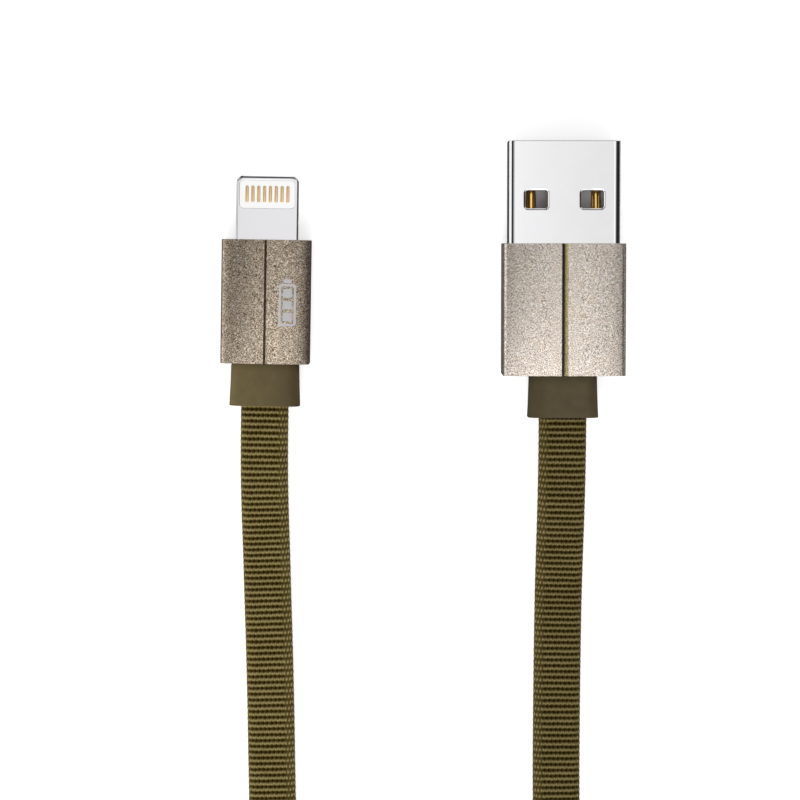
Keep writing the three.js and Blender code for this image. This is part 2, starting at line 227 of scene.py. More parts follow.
SHELL_WINDOW_Y = 18.9
TAB_WIDTH = 6.7
TAB_THICKNESS = 1.5
TAB_BACK = 9.6
TAB_TIP = 20.3
TAB_WINDOW_WIDTH = 6.0
TAB_WINDOW_LENGTH = 3.06
TAB_WINDOW_Y = 18.31


# ------------------------ where the two plugs stand
def usb_frame():
    """The middle of the USB sleeve's back end."""
    low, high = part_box("usb_sleeve")
    return Matrix.Translation(((low.x + high.x) / 2, low.y, (low.z + high.z) / 2))


def slim_frame():
    """The middle of the slim sleeve's back end, turned to the way the tip points."""
    mount = [m for m in frame["record"]["mounts"] if m["name"] == "slim_plug_tip"][0]
    way = Vector(mount["axis"])
    low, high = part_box("slim_sleeve")
    turn = Matrix.Rotation(-math.atan2(way.x, way.y), 4, "Z")
    back = (low + high) / 2 - way * (SLIM_SLEEVE_LENGTH * MM / 2)
    return Matrix.Translation(back) @ turn


USB = usb_frame()
SLIM = slim_frame()

# ------------------------ the cord, in millimetres
CORD_WIDTH = 5.2
CORD_THICKNESS = 1.9
ROW = 0.645  # from one rib of the weave to the next
COLUMN = 0.48  # from one warp yarn to the next
SELVEDGE_COLUMN = 0.39  # the same in the woven edges
BROAD_SELVEDGE = 1.35  # from the middle to where each woven edge begins
NARROW_SELVEDGE = 2.15
RIB_HEIGHT = 0.11
FINE_ROWS = 70  # ribs modelled closely at each end of the cord
FINE = (6, 36, 8, 8)  # rings to a row, and points on the cord's top, on each side and underneath
COARSE = (2, 9, 2, 2)
LINE_STEP = 0.05  # between points of the cord's line
TABLE_GAP = 0.05  # between the cord and the table
USB_RUN = [
    (15.24, -13.6, 3.8), (15.24, -15.2, 3.8), (15.22, -19, 3.7), (15.18, -23, 3.3), (15.12, -27, 2.6),
    (15.05, -31, 1.8), (14.98, -35.5, 1.2), (14.92, -41, 1.0), (14.86, -48, 1.0), (14.85, -56, 1.0),
    (15.0, -64, 1.0), (15.6, -71, 1.0), (17.0, -80, 1.0), (18.9, -89, 1.0), (20.7, -97, 1.0),
    (21.6, -103, 1.0), (21.8, -107.3, 1.0), (21.8, -112, 1.0),
]
SLIM_RUN = [
    (-17.1, -12.3, 2.8), (-17.12, -14.0, 2.8), (-17.18, -18, 2.72), (-17.2, -22, 2.4), (-17.15, -26, 1.8),
    (-17.05, -30, 1.3), (-16.95, -34.5, 1.05), (-16.8, -40, 1.0), (-16.65, -47, 1.0), (-16.55, -54, 1.0),
    (-16.4, -61, 1.15), (-16.0, -67, 2.1), (-15.4, -73, 3.9), (-15.05, -79, 5.6), (-14.9, -85, 6.3),
    (-14.9, -92, 6.35), (-14.85, -99, 6.35), (-14.7, -105, 6.2), (-14.55, -111, 5.45), (-14.6, -118, 4.2),
    (-15.3, -125, 3.1), (-16.0, -131, 2.65), (-16.075, -137, 2.65), (-16.075, -143, 2.65),
]
HANK_X = -0.9
HANK_TOP = -107.3
HANK_BOTTOM = -156.7
HANK_PITCH = 2.15
HANK_HALF = 22.7
HANK_TURNS = 7  # half turns
USB_EDGE_START = -61.0  # where the run begins to turn on edge, and over what length
USB_EDGE_LENGTH = 27.0
USB_LOW_START = -56.0  # from here its height follows from how far it has turned
SLIM_EDGE_START = -108.0
SLIM_EDGE_LENGTH = 22.0
SLIM_RUN_END = -142.9  # where the run meets the hank's last straight
TIE_Y = -139.0
TIE_LIFT = 0.68  # how much the ties raise the hank up to NEAR from their middle; nothing from FAR on
TIE_LIFT_NEAR = 6.0
TIE_LIFT_FAR = 17.0


def smooth(t):
    t = np.clip(t, 0, 1)
    return t * t * (3 - 2 * t)


def spline(points):
    """A smooth curve from the first point through the others to the last, in short steps."""
    p = np.array(points, float)
    p = np.vstack([2 * p[0] - p[1], p, 2 * p[-1] - p[-2]])
    out = []
    for i in range(1, len(p) - 2):
        p0, p1, p2, p3 = p[i - 1 : i + 3]
        n = max(2, int(np.linalg.norm(p2 - p1) / LINE_STEP))
        t = np.linspace(0, 1, n, endpoint=False)[:, None]
        square, cube = 2 * p0 - 5 * p1 + 4 * p2 - p3, 3 * p1 - p0 - 3 * p2 + p3
        out.append(0.5 * (2 * p1 + (p2 - p0) * t + square * t**2 + cube * t**3))
    out.append(p[-2][None])
    return np.vstack(out)


def cord_line():
    """Centre points and twist of the whole cord, from the USB collar round the hank to the slim collar."""
    first = spline(USB_RUN)
    first = first[first[:, 1] > HANK_TOP]
    phi = 90 * smooth((USB_EDGE_START - first[:, 1]) / USB_EDGE_LENGTH)
    low = first[:, 1] < USB_LOW_START
    c, s = np.cos(np.radians(phi)), np.sin(np.radians(phi))
    first[low, 2] = (CORD_WIDTH / 2 * s + CORD_THICKNESS / 2 * c + TABLE_GAP)[low]
    parts, twists = [first], [phi]
    p = HANK_PITCH
    # straight runs, each with the half turn after it
    for j in range(HANK_TURNS):
        side, start, end = (1, HANK_TOP, HANK_BOTTOM) if j % 2 == 0 else (-1, HANK_BOTTOM, HANK_TOP)
        x = HANK_X + side * (HANK_HALF - j * p / 2)
        y = start - side * np.arange(0, HANK_TOP - HANK_BOTTOM, LINE_STEP)
        parts.append(np.stack([np.full(len(y), x), y, np.zeros(len(y))], 1))
        r = HANK_HALF - p / 4 - j * p / 2
        t = np.arange(0, math.pi * r, LINE_STEP) / r
        turn = [HANK_X + side * p / 4 + side * r * np.cos(t), end - side * r * np.sin(t), 0 * t]
        parts.append(np.stack(turn, 1))
    last = spline(SLIM_RUN)[::-1]
    last = last[last[:, 1] > SLIM_RUN_END]
    y = np.arange(HANK_BOTTOM, last[0, 1], LINE_STEP)
    parts.append(np.stack([np.full(len(y), last[0, 0]), y, np.zeros(len(y))], 1))
    for q in parts[1:]:
        q[:, 2] = CORD_WIDTH / 2 + TABLE_GAP
        twists.append(np.full(len(q), 90.0))
    parts.append(last)
    twists.append(90 * smooth((SLIM_EDGE_START - last[:, 1]) / SLIM_EDGE_LENGTH))
    line, twist = np.vstack(parts), np.concatenate(twists)
    near = np.abs(line[:, 1] - TIE_Y)
    line[:, 2] += TIE_LIFT * smooth((TIE_LIFT_FAR - near) / (TIE_LIFT_FAR - TIE_LIFT_NEAR))
    return line, twist


def resample(line, twist, stations):
    """The line's points and twists at distances along it."""
    gaps = np.linalg.norm(np.diff(line, axis=0), axis=1)
    s = np.concatenate([[0], np.cumsum(gaps)])
    at = np.stack([np.interp(stations, s, line[:, k]) for k in range(3)], 1)
    return at, np.interp(stations, s, twist)


def cord_frames(line, twist, stations):
    """Centre, width and thickness directions at each station."""
    reach = 0.4
    at, phi = resample(line, twist, stations)
    ahead, _ = resample(line, twist, stations + reach)
    behind, _ = resample(line, twist, stations - reach)
    t = ahead - behind
    t /= np.linalg.norm(t, axis=1)[:, None]
    h = np.cross(t, [0, 0, 1.0])
    h /= np.linalg.norm(h, axis=1)[:, None]
    u = np.cross(h, t)
    c, s = np.cos(np.radians(phi))[:, None], np.sin(np.radians(phi))[:, None]
    return at, c * h + s * u, -s * h + c * u


def cord_section(top, side, bottom):
    """Points round the cord as (across, up, outward across, outward up) from the middle of the underside,
    with each one's warp column and how far it is in a woven edge. Columns are narrower in the woven edges,
    and the edge at positive x is the broader one."""
    w, t = CORD_WIDTH / 2, CORD_THICKNESS / 2
    r = t * 0.96
    flat, turn = w - r, math.pi * r
    perimeter = 4 * flat + 2 * turn
    around = np.concatenate([
        np.linspace(0, flat, bottom // 2, endpoint=False),
        flat + np.linspace(0, turn, side, endpoint=False),
        flat + turn + np.linspace(0, 2 * flat, top, endpoint=False),
        3 * flat + turn + np.linspace(0, turn, side, endpoint=False),
        3 * flat + 2 * turn + np.linspace(0, flat, bottom // 2, endpoint=False),
        [perimeter],
    ])
    out = []
    for q in around:
        if q <= flat:
            row = (-q, -t, 0, -1)
        elif q <= flat + turn:
            a = (q - flat) / r
            row = (-flat - r * math.sin(a), -t * math.cos(a), -math.sin(a), -math.cos(a))
        elif q <= 3 * flat + turn:
            row = (-flat + q - flat - turn, t, 0, 1)
        elif q <= 3 * flat + 2 * turn:
            a = (q - 3 * flat - turn) / r
            row = (flat + r * math.sin(a), t * math.cos(a), math.sin(a), math.cos(a))
        else:
            row = (perimeter - q, -t, 0, -1)
        out.append(row)
    out = np.array(out)
    across = out[:, 0]
    edge = np.maximum(smooth((across - BROAD_SELVEDGE) / 0.4), smooth((-across - NARROW_SELVEDGE) / 0.35))
    width = COLUMN + (SELVEDGE_COLUMN - COLUMN) * edge
    column = np.concatenate([[0], np.cumsum(np.diff(around) / ((width[1:] + width[:-1]) / 2))])
    return out, column, edge


def weave_height(row, column, edge):
    """Height of the weave: ribs across the cord at 1, with staggered holes down to -0.75 between them."""
    wave = 0.055 * np.sin(2 * np.pi * column + np.pi * np.floor(row))
    f = (row + wave) % 1.0
    rib = np.sin(np.pi * f) ** 1.4
    hole = 0.5 + 0.5 * np.cos(2 * np.pi * (column + 0.5 * np.floor(row + wave + 0.5)))
    seed = 0.5 + 0.5 * np.cos(2 * np.pi * (column + 0.5 * np.floor(row + wave)))
    middle = rib - (1 - rib) * 0.75 * hole
    selvedge = rib * (0.55 + 0.45 * seed) - (1 - rib) * 0.4
    return (1 - edge) * middle + edge * selvedge


def weave_stretch(line, twist, first_row, rows, per_row, *counts):
    """Rings of vertices and warp coordinates of a length of cord. With few rings to a row, its ribs are plain
    waves."""
    section, column, edge = cord_section(*counts)
    row = first_row + np.arange(rows * per_row + 1) / per_row
    at, wide, thick = cord_frames(line, twist, row * ROW)
    n = len(section) - 1
    if per_row > 2:
        height = weave_height(row[:, None], column[None, :n], edge[None, :n])
    else:
        height = np.sin(np.pi * (row % 1))[:, None] * np.ones((1, n))
    grow = RIB_HEIGHT * (height - 0.55) * (1 - 0.7 * np.abs(section[None, :n, 2]))
    x = section[None, :n, 0] + grow * section[None, :n, 2]
    z = section[None, :n, 1] + grow * section[None, :n, 3]
    verts = at[:, None] + x[..., None] * wide[:, None] + z[..., None] * thick[:, None]
    return verts, row, column, edge[:n]


def seam(before, after):
    """Faces and warp coordinates between two rings of different density, with one face for each edge of the
    coarser ring. A ring is its first vertex, its row and its columns."""
    way = -1 if len(before[2]) > len(after[2]) else 1
    coarse, fine = (before, after)[::way]
    few, many = len(coarse[2]) - 1, len(fine[2]) - 1
    k = many // few
    faces, uvs = [], []
    for j in range(few):
        face = [coarse[0] + j, coarse[0] + (j + 1) % few]
        uv = [(coarse[1], coarse[2][j]), (coarse[1], coarse[2][j + 1])]
        for i in range((j + 1) * k, j * k - 1, -1):
            face.append(fine[0] + i % many)
            uv.append((fine[1], fine[2][i]))
        faces.append(tuple(face[::way]))
        uvs.append(tuple(uv[::way]))
    return faces, uvs


def make_cord(material):
    """The cord in three stretches, the middle one coarser, joined by seams. The coarse stretch leaves out its
    first and last ring, which would lie on the fine ones."""
    line, twist = cord_line()
    total = float(np.linalg.norm(np.diff(line, axis=0), axis=1).sum())
    rows = int(total / ROW)
    verts, faces, uvs, ends, selvedge = [], [], [], [], []
    start = 0
    for first, count, density in (
        (0, FINE_ROWS, FINE), (FINE_ROWS, rows - 2 * FINE_ROWS, COARSE), (rows - FINE_ROWS, FINE_ROWS, FINE),
    ):
        v, row, column, edge = weave_stretch(line, twist, first, count, *density)
        if density == COARSE:
            v, row = v[1:-1], row[1:-1]
        m, n = v.shape[:2]
        selvedge.append(np.tile(edge, m))
        faces += ring_faces(m, n, start=start)
        for r0, r1 in zip(row, row[1:]):
            for c0, c1 in zip(column, column[1:]):
                uvs.append(((r0, c0), (r0, c1), (r1, c1), (r1, c0)))
        verts.append(v.reshape(-1, 3))
        ends.append(((start, row[0], column), (start + (m - 1) * n, row[-1], column)))
        start += m * n
    for (_, before), (after, _) in zip(ends, ends[1:]):
        more_faces, more_uvs = seam(before, after)
        faces += more_faces
        uvs += more_uvs
    # the first and the last ring both have n points
    faces += [tuple(range(n))[::-1], tuple(range(start - n, start))]
    uvs += [((0, 0),) * n] * 2
    obj = mesh_object("woven_cord", np.vstack(verts), faces, sharp=180.0, outward=False)
    layer = obj.data.uv_layers.new(name="weave")
    layer.data.foreach_set("uv", np.array([c for f in uvs for c in f], np.float32).ravel())
    obj.data.attributes.new("selvedge", "FLOAT", "POINT").data.foreach_set(
        "value", np.concatenate(selvedge).astype(np.float32))
    finish_piece(obj, material, ["cord_run_usb", "cord_run_slim", "cord_hank"])


# ------------------------ materials
class Tree:
    """A node tree and short ways to add to it. A value is a constant or another node's output."""

    def __init__(self, tree):
        self.tree = tree

    def node(self, kind):
        return self.tree.nodes.new("ShaderNode" + kind)

    def put(self, socket, value):
        if isinstance(value, bpy.types.NodeSocket):
            self.tree.links.new(value, socket)
        else:
            socket.default_value = value

    def maths(self, kind, *values):
        n = self.node("Math")
        n.operation = kind
        for socket, value in zip(n.inputs, values):
            self.put(socket, value)
        return n.outputs[0]

    def add(self, *values):
        return self.maths("ADD", *values)

    def times(self, *values):
        return self.maths("MULTIPLY", *values)

    def minus(self, *values):
        return self.maths("SUBTRACT", *values)

    def axes(self, vector):
        """The x, y and z of a vector."""
        n = self.node("SeparateXYZ")
        self.put(n.inputs[0], vector)
        return n.outputs


class Look(Tree):
    """A Principled material built up node by node; positions are the object's own, in metres."""

    def __init__(self, name, **constants):
        self.material = bpy.data.materials.new(name)
        self.material.use_nodes = True
        super().__init__(self.material.node_tree)
        self.shader = self.tree.nodes["Principled BSDF"]
        for key, value in constants.items():
            self.shader.inputs[key.replace("_", " ")].default_value = value
        self.place = self.node("TexCoord").outputs["Object"]
        self.height = None

    def set(self, **inputs):
        """Sets inputs of the shader, with underscores for the spaces in their names."""
        for key, value in inputs.items():
            self.put(self.shader.inputs[key.replace("_", " ")], value)

    def stretch(self, x, y, z):
        """Positions scaled along each axis, so that a pattern is long where the factor is small."""
        n = self.node("Mapping")
        n.inputs["Scale"].default_value = (x, y, z)
        self.put(n.inputs["Vector"], self.place)
        return n.outputs[0]

    def local(self, matrix):
        """Positions in the frame of a matrix."""
        back = matrix.inverted()
        n = self.node("Mapping")
        n.inputs["Location"].default_value = back.translation
        n.inputs["Rotation"].default_value = back.to_euler()
        self.put(n.inputs["Vector"], self.place)
        return n.outputs[0]

    def noise(self, size, detail=2.0, rough=0.5, place=None):
        """Cloudy noise about 0.5 whose lumps are size millimetres across."""
        n = self.node("TexNoise")
        n.inputs["Scale"].default_value = 1 / (size * MM)
        n.inputs["Detail"].default_value = detail
        n.inputs["Roughness"].default_value = rough
        self.put(n.inputs["Vector"], place or self.place)
        return n.outputs[0]

    def cells(self, size, feature="F1"):
        n = self.node("TexVoronoi")
        n.feature = feature
        n.inputs["Scale"].default_value = 1 / (size * MM)
        self.put(n.inputs["Vector"], self.place)
        return n

    def ramp(self, value, *stops):
        """A colour ramp; each stop is (place, colour or grey)."""
        n = self.node("ValToRGB")
        while len(n.color_ramp.elements) < len(stops):
            n.color_ramp.elements.new(0.5)
        for e, (at, colour) in zip(n.color_ramp.elements, stops):
            e.position = at
            e.color = (*colour, 1) if hasattr(colour, "__len__") else (colour, colour, colour, 1)
        self.put(n.inputs[0], value)
        return n.outputs[0]

    def mix(self, amount, a, b, kind="MIX"):
        n = self.node("Mix")
        n.data_type = "RGBA"
        n.blend_type = kind
        self.put(n.inputs[0], amount)
        for i, v in ((6, a), (7, b)):
            self.put(n.inputs[i], v if isinstance(v, bpy.types.NodeSocket) else (*v, 1))
        return n.outputs[2]

    def bump(self, value, depth, strength):
        """Raises the surface by depth millimetres where value is 1."""
        n = self.node("Bump")
        n.inputs["Distance"].default_value = depth * MM
        n.inputs["Strength"].default_value = strength
        self.put(n.inputs["Height"], value)
        if self.height is not None:
            self.put(n.inputs["Normal"], self.height)
        self.height = n.outputs[0]
        self.put(self.shader.inputs["Normal"], self.height)


def steel(name, colour, roughness, grain=1.0):
    """Smooth steel with faint smears and streaks that run along y."""
    look = Look(name, Metallic=1.0)
    streaks = look.noise(0.05, 3, 0.6, look.stretch(1, 0.02, 1))
    smears = look.noise(2.4, 4, 0.6)
    look.set(
        Base_Color=look.mix(smears, [c * 0.97 for c in colour], [min(c * 1.02, 0.97) for c in colour]),
        Roughness=look.add(roughness, look.times(0.05 * grain, smears)),
    )
    look.bump(streaks, 0.0006 * grain, 0.5)
    return look.material


def blasted(name, matrix, dark, middle, light, spark, *painted_groove_tints):
    """Sandblasted anodised aluminium in the frame of its plug, whose bright and dark grains are painted
    glints and painted shade of the blasted pits. Each stripe is (low x, high x, tint) in millimetres, and
    tints a part
    of the groove: a dark stripe is painted shade in the slot, an olive one a painted lit wall."""
    look = Look(name, Metallic=1.0)
    look.place = look.local(matrix)
    grain = look.noise(0.088, 1.5, 0.6)
    cloud = look.noise(1.6, 3.0, 0.5)
    # painted light: the grains' dark and light colours stand for the shade and glints of the blasted pits
    tone = look.ramp(grain, (0.435, dark), (0.5, middle), (0.565, light))
    tint = look.ramp(cloud, (0.3, (0.95, 0.955, 0.96)), (0.7, (1.0, 0.975, 0.94)))
    # painted glints: a few cells take the near-white spark colour
    cells = look.cells(0.15)
    painted_glint = look.ramp(look.maths("GREATER_THAN", cells.outputs["Color"], 0.8), (0.0, 0.0), (1.0, 1.0))
    colour = look.mix(look.times(painted_glint, 0.5), look.mix(1.0, tone, tint, "MULTIPLY"), spark)
    x = look.axes(look.place)[0]
    # painted shade and light in the groove: each stripe multiplies the colour between two x by its tint
    for low, high, shade in painted_groove_tints:
        inside = look.times(look.maths("GREATER_THAN", x, low * MM), look.maths("LESS_THAN", x, high * MM))
        colour = look.mix(inside, colour, look.mix(1.0, colour, shade, "MULTIPLY"))
    look.set(Base_Color=colour, Roughness=look.ramp(grain, (0.35, 0.44), (0.65, 0.30)))
    look.bump(grain, 0.027, 0.65)
    look.bump(look.noise(0.04, 1.0), 0.006, 0.5)
    return look.material


def moulded(name, colour, roughness, depth=0.006, size=0.12, vary=0.12, across=None, **constants):
    """Moulded plastic or rubber with a fine grain and slightly uneven colour. It is tinted from side to side
    with across, which is a plug's matrix and then (place, tint) stops over 8 mm: painted light and shade."""
    look = Look(name, **constants)
    cloud = look.noise(1.3, 4.0, 0.55)
    grain = look.noise(size, 3.0, 0.6)
    base = look.mix(cloud, [c * (1 - vary) for c in colour], [min(1, c * (1 + vary)) for c in colour])
    # painted light and shade from side to side across the plug
    if across:
        matrix, *stops = across
        place = look.maths("MULTIPLY_ADD", look.axes(look.local(matrix))[0], 1 / (8 * MM), 0.5)
        base = look.mix(1.0, base, look.ramp(place, *stops), "MULTIPLY")
    look.set(Base_Color=base, Roughness=look.add(roughness - 0.06, look.times(0.12, grain)))
    look.bump(grain, depth, 0.8)
    return look.material


def gold(name, colour, roughness):
    """Gold plate, slightly uneven in colour and rubbed along y."""
    look = Look(name, Metallic=1.0)
    cloud = look.noise(0.5, 3.0, 0.5)
    rub = look.noise(0.04, 2.0, 0.6, look.stretch(1, 0.05, 1))
    look.set(
        Base_Color=look.mix(cloud, [c * 0.86 for c in colour], [min(1, c * 1.1) for c in colour]),
        Roughness=look.add(roughness, look.times(0.1, cloud)),
    )
    look.bump(rub, 0.0008, 0.5)
    return look.material


def woven():
    """The weave in the warp coordinates that the cord's mesh carries: rows along it, columns round it."""
    look = Look("olive_weave", Specular_IOR_Level=0.06, Sheen_Weight=0.02, Roughness=0.8)
    uv = look.node("UVMap")
    uv.uv_map = "weave"
    along, around, _ = look.axes(uv.outputs[0])
    edge = look.node("Attribute")
    edge.attribute_name = "selvedge"
    edge = edge.outputs["Fac"]
    turn = 2 * math.pi

    def about_zero(size, amount):
        return look.times(amount, look.minus(look.noise(size, 1.0), 0.5))

    def wave(kind, *terms):
        total = terms[0]
        for t in terms[1:]:
            total = look.add(total, t)
        return look.maths("MULTIPLY_ADD", look.maths(kind, total), 0.5, 0.5)

    row = look.add(along, about_zero(0.7, 0.15))
    column = look.add(around, about_zero(0.8, 0.35))
    across = look.times(column, turn)
    phase = look.add(across, look.times(math.pi, look.maths("FLOOR", row)))
    wavy = look.add(row, look.times(0.04, look.maths("SINE", phase)))
    f = look.maths("FRACT", wavy)
    rib = look.maths("POWER", look.maths("SINE", look.times(f, math.pi)), 1.9)
    below = look.times(math.pi, look.maths("FLOOR", look.add(wavy, 0.5)))
    hole = wave("COSINE", across, below)
    slant = look.times(f, -2.2)
    strand = wave("SINE", look.times(across, 2.0), slant)
    seed = wave("COSINE", across, slant, look.times(math.pi, look.maths("FLOOR", wavy)))
    down = look.times(look.minus(1.0, rib), look.maths("MULTIPLY_ADD", hole, 0.75, 0.25))
    strands = look.maths("MULTIPLY_ADD", strand, 0.42, 0.66)
    middle = look.minus(look.times(rib, strands), look.times(0.6, down))
    side = look.times(rib, look.maths("MULTIPLY_ADD", seed, 1.1, 0.12))
    height = look.add(look.times(middle, look.minus(1.0, edge)), look.times(side, edge))
    fibre = look.noise(0.045, 2.0, 0.6)
    # painted shade and highlight: the colour follows the weave's height, dark in the holes and gaps between
    # ribs and light on the crests; the noises add real yarn colour
    tone = look.maths("MULTIPLY_ADD", height, 0.5, 0.3)
    tone = look.add(tone, look.times(0.28, look.minus(fibre, 0.5)))
    tone = look.add(tone, about_zero(0.5, 0.16))
    tone = look.add(tone, about_zero(3.0, 0.12))
    colour = look.ramp(
        tone,
        (0.02, (0.022, 0.013, 0.0)),
        (0.24, (0.056, 0.037, 0.002)),
        (0.46, (0.150, 0.111, 0.035)),
        (0.66, (0.285, 0.224, 0.085)),
        (0.92, (0.460, 0.390, 0.185)),
    )
    # painted shade: the cord is darker towards its USB end
    ends = look.maths("MULTIPLY_ADD", along, 0.00055, 0.73)
    look.set(Base_Color=look.mix(1.0, colour, look.ramp(ends, (0.0, 0.0), (1.0, 1.0)), "MULTIPLY"))
    look.bump(height, 0.10, 0.7)
    look.bump(fibre, 0.02, 0.6)
    return look.material


def looped():
    """Hook-and-loop tape: a mat of tiny loops."""
    look = Look("tie_loops", Sheen_Weight=0.4, Specular_IOR_Level=0.2, Roughness=0.9)
    mat = look.cells(0.22, "SMOOTH_F1").outputs["Distance"]
    hair = look.noise(0.06, 3.0, 0.7)
    # painted shade: darker between the loops, where the bump sinks
    look.set(Base_Color=look.mix(mat, (0.055, 0.053, 0.05), (0.016, 0.016, 0.017)))
    look.bump(mat, -0.08, 0.9)
    look.bump(hair, 0.03, 0.8)
    return look.material


def board():
    """Green solder mask over faint tracks."""
    look = Look("board_mask", Coat_Weight=0.3)
    tracks = look.noise(0.35, 1.0, 0.4, look.stretch(1, 0.25, 1))
    look.set(
        Base_Color=look.ramp(tracks, (0.46, (0.012, 0.10, 0.04)), (0.5, (0.03, 0.20, 0.08))),
        Roughness=look.ramp(look.noise(0.1), (0.3, 0.32), (0.7, 0.42)),
    )
    look.bump(tracks, 0.02, 0.6)
    return look.material


shell_steel = steel("shell_steel", (0.76, 0.755, 0.765), 0.05)
tab_steel = steel("tab_steel", (0.77, 0.76, 0.775), 0.06)
band_steel = steel("band_steel", (0.62, 0.62, 0.61), 0.28, grain=3.0)
# Both sleeves are one anodised finish: the USB sleeve's brighter colours are a painted lit copy of it and the
# slim sleeve's darker ones a painted shaded copy.
# The groove stripes are painted: in the USB groove a dark stripe of painted shade in the slot and an olive
# painted lit wall beside it, in the slim groove a dark stripe of painted shade.
usb_metal = blasted("usb_blast_painted_bright", USB, (0.31, 0.25, 0.20), (0.81, 0.685, 0.595), (1.0, 0.945, 0.875),
                    (1.0, 0.98, 0.95), (-0.29, -0.05, (0.05, 0.045, 0.05)), (-0.05, 0.37, (0.60, 0.57, 0.33)))
slim_metal = blasted("slim_blast_painted_dark", SLIM, (0.125, 0.093, 0.064), (0.39, 0.305, 0.222), (0.72, 0.62, 0.50),
                     (0.95, 0.88, 0.75), (-0.1, 0.1, (0.16, 0.13, 0.12)))
# Both collars are one rubber: the slim collar's lighter colour is a painted lit copy, and the across stops
# paint shade and light from side to side, the USB collar darker towards its sides, most on the left, the slim
# collar lighter on the left and darker on the right.
usb_rubber = moulded(
    "usb_olive_rubber", (0.108, 0.084, 0.042), 0.62, depth=0.016, size=0.2, vary=0.2, Specular_IOR_Level=0.2,
    across=(USB, (0.0, (0.6, 0.58, 0.5)), (0.14, (0.8, 0.8, 0.72)), (0.3, (1, 1, 1)), (0.8, (1, 1, 1)),
            (1.0, (0.8, 0.78, 0.7))))
slim_rubber = moulded(
    "slim_olive_rubber", (0.148, 0.114, 0.050), 0.62, depth=0.016, size=0.2, vary=0.2, Specular_IOR_Level=0.2,
    across=(SLIM, (0.0, (1.1, 1.12, 1.05)), (0.3, (1.08, 1.08, 1.05)), (0.62, (0.96, 0.96, 0.98)),
            (0.82, (0.75, 0.74, 0.72)), (1.0, (0.6, 0.56, 0.55))))
grey_plastic = moulded("grey_insulator", (0.55, 0.54, 0.55), 0.42)
# painted light: the white insulator glows a little of its own, so that it reads pure white
glowing_white_plastic = moulded("white_insulator", (0.94, 0.94, 0.93), 0.16, depth=0.001, vary=0.02,
                        Coat_Weight=0.3, Emission_Color=(1, 1, 1, 1), Emission_Strength=0.24)
mould_plastic = moulded("inner_mould", (0.13, 0.115, 0.085), 0.5)
contact_gold = gold("contact_gold", (0.95, 0.60, 0.18), 0.12)
pad_gold = gold("pad_gold", (0.86, 0.62, 0.34), 0.3)
weave = woven()
tie_loops = looped()
mark_ink = moulded("mark_ink", (0.62, 0.61, 0.63), 0.45, depth=0.004, vary=0.05)
board_mask = board()
chip_black = moulded("chip_black", (0.02, 0.02, 0.022), 0.5)
capacitor_tan = moulded("capacitor_tan", (0.36, 0.26, 0.16), 0.4)
wire_looks = {
    "power": moulded("wire_red", (0.5, 0.03, 0.025), 0.4),
    "data_minus": moulded("wire_white", (0.8, 0.8, 0.78), 0.4),
    "data_plus": moulded("wire_green", (0.03, 0.28, 0.08), 0.4),
    "ground": moulded("wire_black", (0.025, 0.025, 0.025), 0.4),
}

make_cord(weave)


# ------------------------ plugs
class Dome:
    """The section of a sleeve, with round corners and faces that fall by crown and shoulder to the sides."""

    def __init__(self, width, thick, crown, shoulder, corner):
        self.top, self.crown, self.shoulder, self.r = thick / 2, crown, shoulder, corner
        self.edge = self.end = width / 2 - corner
        # the face ends where the corner's arc has the face's slope, which a few rounds find
        for _ in range(6):
            self.slope = math.atan((2 * crown + 10 * shoulder) / self.end)
            self.end = self.edge + corner * math.sin(self.slope)

    def height(self, x):
        u = x / self.end
        return self.top - self.crown * u**2 - self.shoulder * u**10

    def outline(self, groove, cut=True):
        """The whole section; groove is (x, depth) points from its left lip to its right, for both faces."""
        middle = self.height(self.end) - self.r * math.cos(self.slope)
        corner = arc(self.edge, middle, self.r, 0, 90 - math.degrees(self.slope), 8)
        spread = np.sin(np.radians(np.linspace(90, 0, 22)))[1:-1]
        right = groove[-1][0] + (self.end - groove[-1][0]) * spread
        left = groove[0][0] - (self.end + groove[0][0]) * spread[::-1]
        vee = [(x, self.height(x) - (d if cut else 0.0)) for x, d in groove[::-1]]
        upper = np.vstack([corner, np.stack([right, self.height(right)], 1), vee,
                           np.stack([left, self.height(left)], 1), corner[::-1] * (-1, 1)])
        return np.vstack([upper, upper[::-1] * (1, -1)])


def make_sleeve(name, matrix, length, wall, dome, groove, material, nodes):
    """A metal sleeve: a tube with rounded outer rims, whose outside alone has the groove."""
    outer = dome.outline(groove)
    plain = inset(dome.outline(groove, cut=False), wall)
    back, front = [along_y(plain, 0.05)], [along_y(plain, length - 0.05)]
    for a in (0, 35, 65, 90):
        t = math.radians(a)
        section = inset(outer, SLEEVE_BEVEL * (1 - math.sin(t)))
        y = SLEEVE_BEVEL * (1 - math.cos(t))
        back.append(along_y(section, y))
        front.append(along_y(section, length - y))
    sleeve = place(loft(name, back + front[::-1], loop=True, sharp=22), matrix)
    return finish_piece(sleeve, material, nodes)


